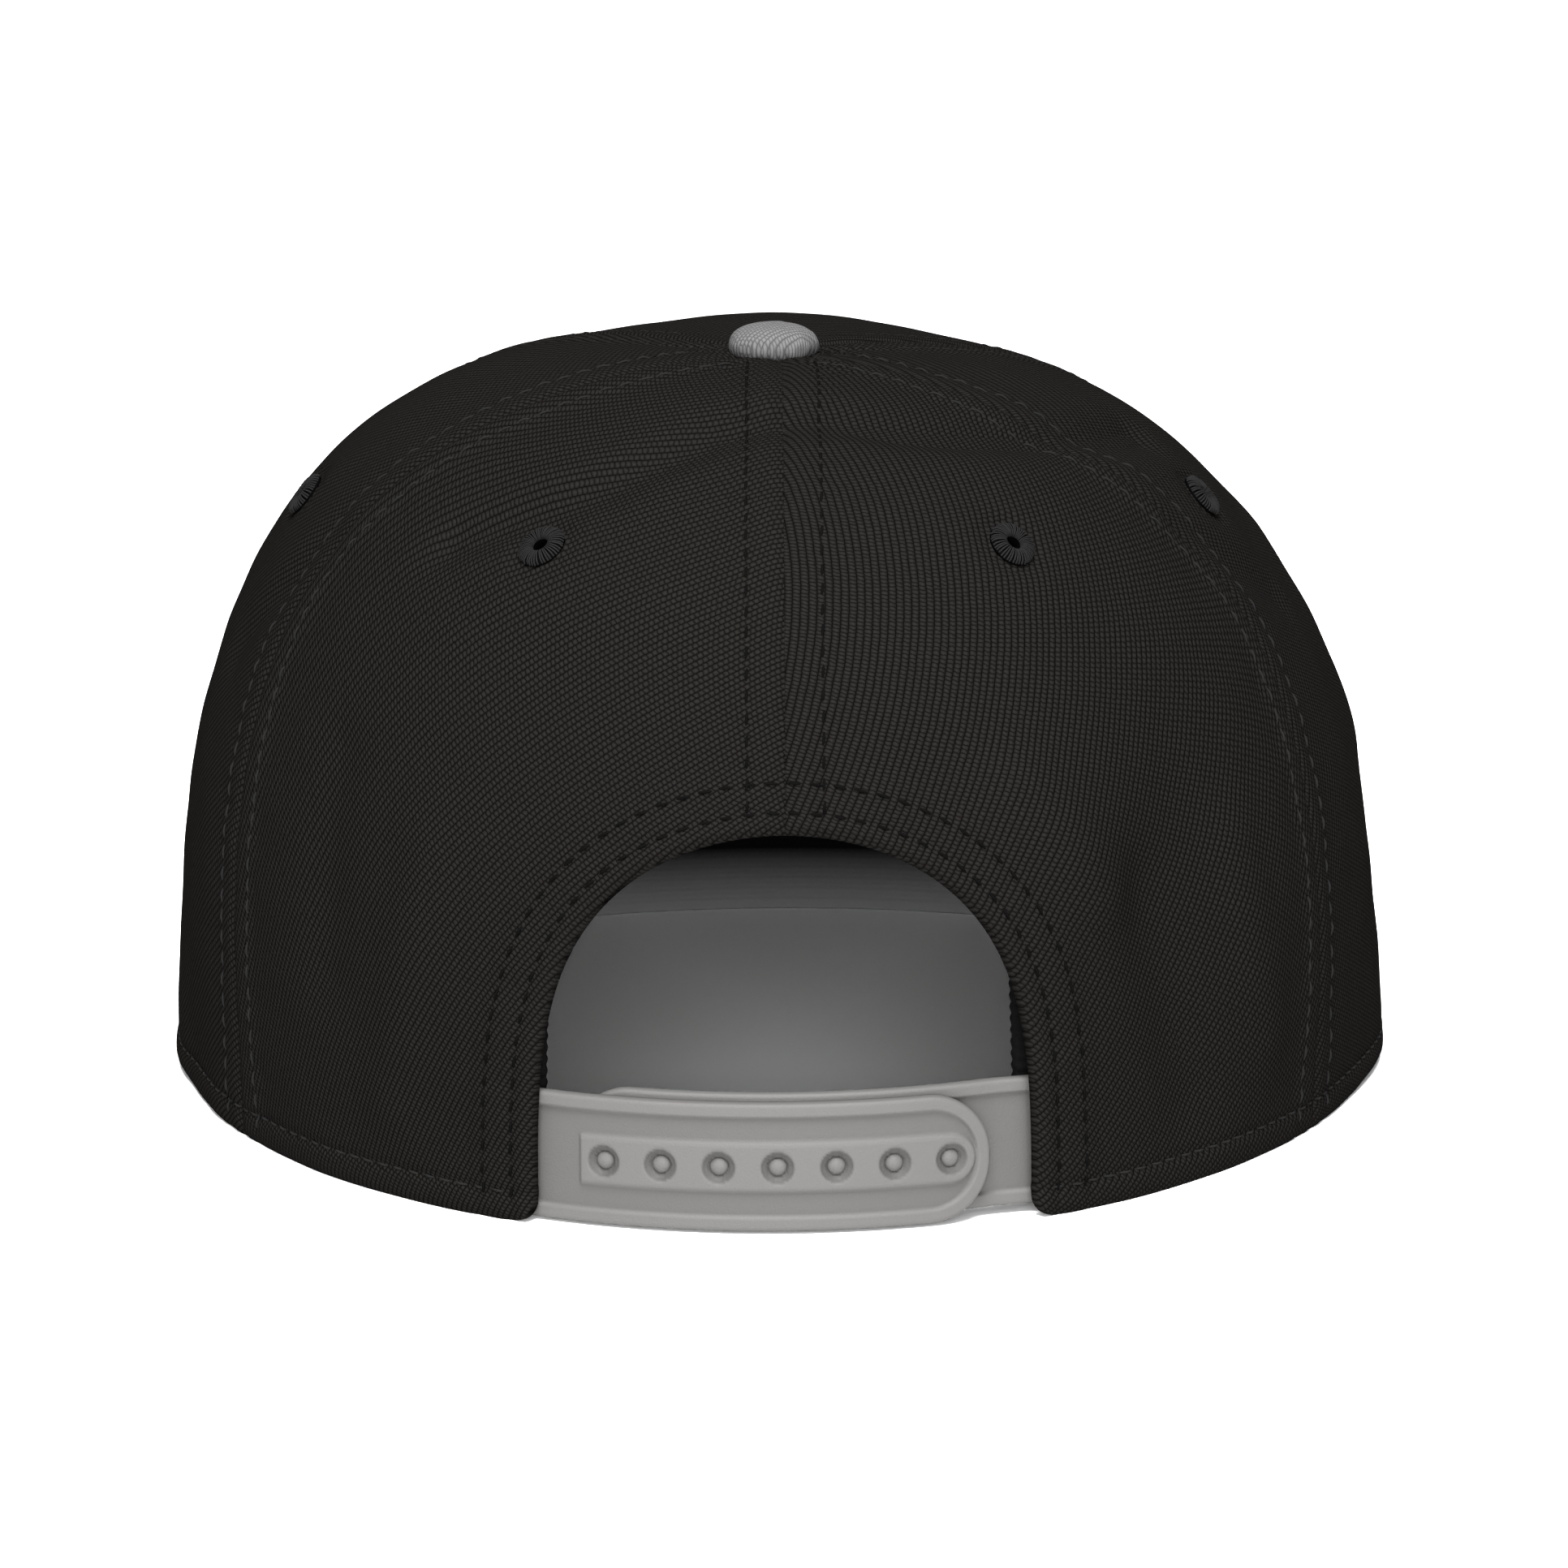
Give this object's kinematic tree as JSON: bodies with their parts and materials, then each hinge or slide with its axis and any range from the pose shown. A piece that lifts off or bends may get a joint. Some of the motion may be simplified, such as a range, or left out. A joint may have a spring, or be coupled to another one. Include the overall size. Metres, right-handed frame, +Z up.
{
  "type": "snapback cap",
  "caption": "Cloth cap with a stiff flat visor, a covered button, stitched eyelets and an arched rear opening closed by a plastic snap strap.",
  "frame": {"origin": "middle of the cap's bounding box, on the plane the rim and visor stand on", "axes": "+Z up, the visor points along -Y, the open back faces +Y, +X is the wearer's left"},
  "size_m": [0.186, 0.2675, 0.1166],
  "materials": {
    "crown_cloth": "black twill with matching topstitching",
    "sweatband_cloth": "black ribbed band",
    "grey_cloth": "mid grey twill",
    "strap_plastic": "grey plastic with a fine frosted grain"
  },
  "bodies": {
    "root": {"front_panel": "crown_cloth", "side_panel_left": "crown_cloth", "side_panel_right": "crown_cloth", "back_panel_left": "crown_cloth", "back_panel_right": "crown_cloth", "sweatband": "sweatband_cloth", "visor": "grey_cloth", "crown_button": "grey_cloth", "strap_socket_half": "strap_plastic", "strap_peg_half": "strap_plastic", "eyelet_back_left": "crown_cloth", "eyelet_back_right": "crown_cloth", "eyelet_side_left": "crown_cloth", "eyelet_side_right": "crown_cloth"}
  },
  "joints": []
}
